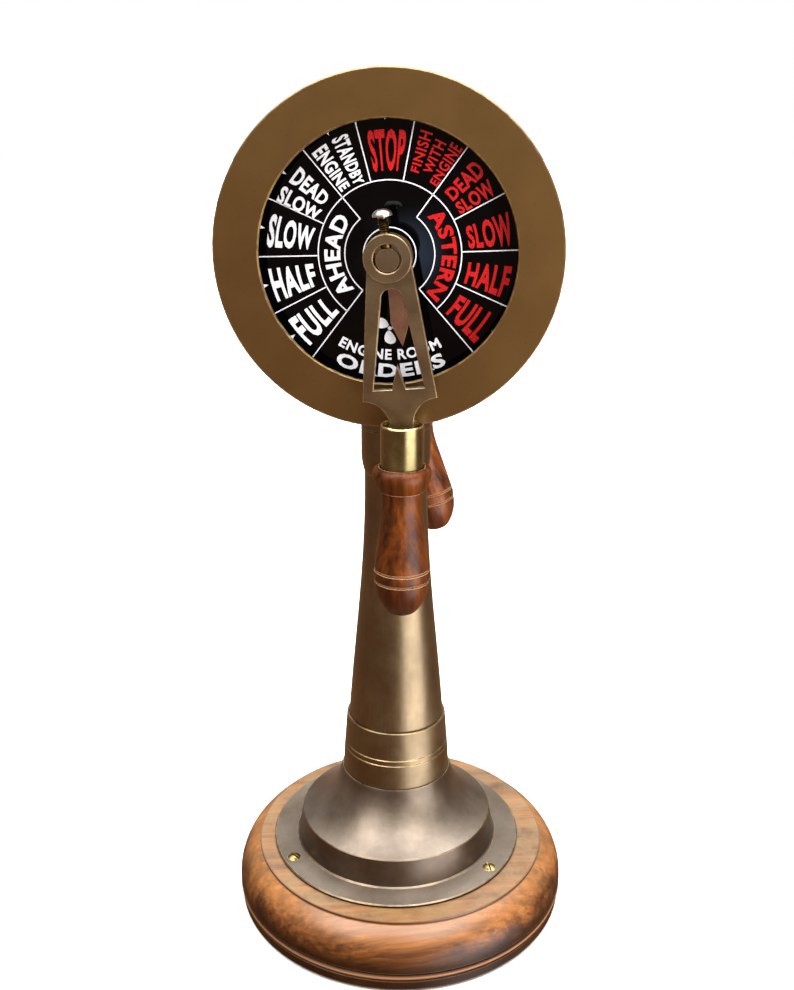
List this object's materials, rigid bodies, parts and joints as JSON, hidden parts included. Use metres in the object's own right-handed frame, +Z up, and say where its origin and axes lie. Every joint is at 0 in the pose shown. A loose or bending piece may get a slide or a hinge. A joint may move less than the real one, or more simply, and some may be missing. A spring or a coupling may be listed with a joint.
{
  "type": "ship engine telegraph",
  "caption": "Tabletop ship's engine telegraph: double-faced brass head on a flared column and wooden base, with hand levers that turn on a shared spindle over printed dials.",
  "frame": {"origin": "centre of the underside, on the felt pad", "axes": "+Z up, -Y out of the front dial, +X to the right of a viewer who faces the front dial"},
  "size_m": [0.2104, 0.2104, 0.5083],
  "materials": {
    "column_brass": "antiqued and brushed",
    "drum_brass": "antiqued and brushed",
    "bezel_brass": "antiqued, satin",
    "lever_brass": "antiqued, satin",
    "ferrule_brass": "polished, slightly aged",
    "pointer_brass": "satin, coppery",
    "screw_brass": "bright",
    "works_brass": "plain",
    "bright_steel": "zinc plated",
    "works_steel": "plain",
    "base_wood": "satin lacquer",
    "grip_wood": "waxed",
    "felt": "felt",
    "dial_black": "gloss with printed markings"
  },
  "bodies": {
    "stand": {"felt_pad": "felt", "wooden_base": "base_wood", "base_washer": "works_steel", "base_nut": "works_steel", "tie_rod": "works_steel", "foot": "column_brass", "foot_screw_1": "screw_brass", "foot_screw_2": "screw_brass", "foot_screw_3": "screw_brass", "column_socket": "column_brass", "column": "column_brass", "neck_collar": "column_brass", "head_saddle": "column_brass", "clamp_block": "works_steel", "head_nut": "works_steel", "head_drum": "drum_brass", "front_bezel": "bezel_brass", "front_bezel_screw_1": "screw_brass", "front_bezel_screw_2": "screw_brass", "front_dial": "dial_black", "front_bearing_plate": "works_brass", "front_bush": "pointer_brass", "front_retaining_ring": "pointer_brass", "rear_bezel": "bezel_brass", "rear_bezel_screw_1": "screw_brass", "rear_bezel_screw_2": "screw_brass", "rear_dial": "dial_black", "rear_bearing_plate": "works_brass", "rear_bush": "pointer_brass", "rear_retaining_ring": "pointer_brass", "pillar_1": "works_steel", "pillar_2": "works_steel", "pillar_3": "works_steel", "gong_post": "works_steel", "gong": "works_brass", "gong_nut": "works_steel", "striker_pin": "works_steel"},
    "order_levers": {"spindle": "lever_brass", "star_wheel": "works_brass", "front_thrust_collar": "works_brass", "front_lever_frame": "lever_brass", "front_lever_boss": "lever_brass", "front_set_screw": "bright_steel", "front_ferrule": "ferrule_brass", "front_tang": "works_steel", "front_grip": "grip_wood", "rear_thrust_collar": "works_brass", "rear_lever_frame": "lever_brass", "rear_lever_boss": "lever_brass", "rear_set_screw": "bright_steel", "rear_ferrule": "ferrule_brass", "rear_tang": "works_steel", "rear_grip": "grip_wood"},
    "front_reply": {"front_pointer_sleeve": "pointer_brass", "front_reply_pointer": "pointer_brass"},
    "rear_reply": {"rear_pointer_sleeve": "pointer_brass", "rear_reply_pointer": "pointer_brass"},
    "striker": {"striker_arm": "works_steel", "striker_hammer": "works_brass"}
  },
  "joints": [
    {"name": "lever_turn", "type": "hinge", "parent": "stand", "child": "order_levers", "pos_m": [0.002, 0, 0.4182], "axis": [0, 1, 0], "continuous": true},
    {"name": "front_reply_turn", "type": "hinge", "parent": "stand", "child": "front_reply", "pos_m": [0.002, -0.047, 0.4182], "axis": [0, 1, 0], "continuous": true},
    {"name": "rear_reply_turn", "type": "hinge", "parent": "stand", "child": "rear_reply", "pos_m": [0.002, 0.047, 0.4182], "axis": [0, 1, 0], "continuous": true},
    {"name": "striker_swing", "type": "hinge", "parent": "stand", "child": "striker", "pos_m": [-0.018, 0, 0.4762], "axis": [0, 1, 0], "range_deg": [-3.5, 15], "stiffness_Nm_per_rad": 0.2}
  ]
}
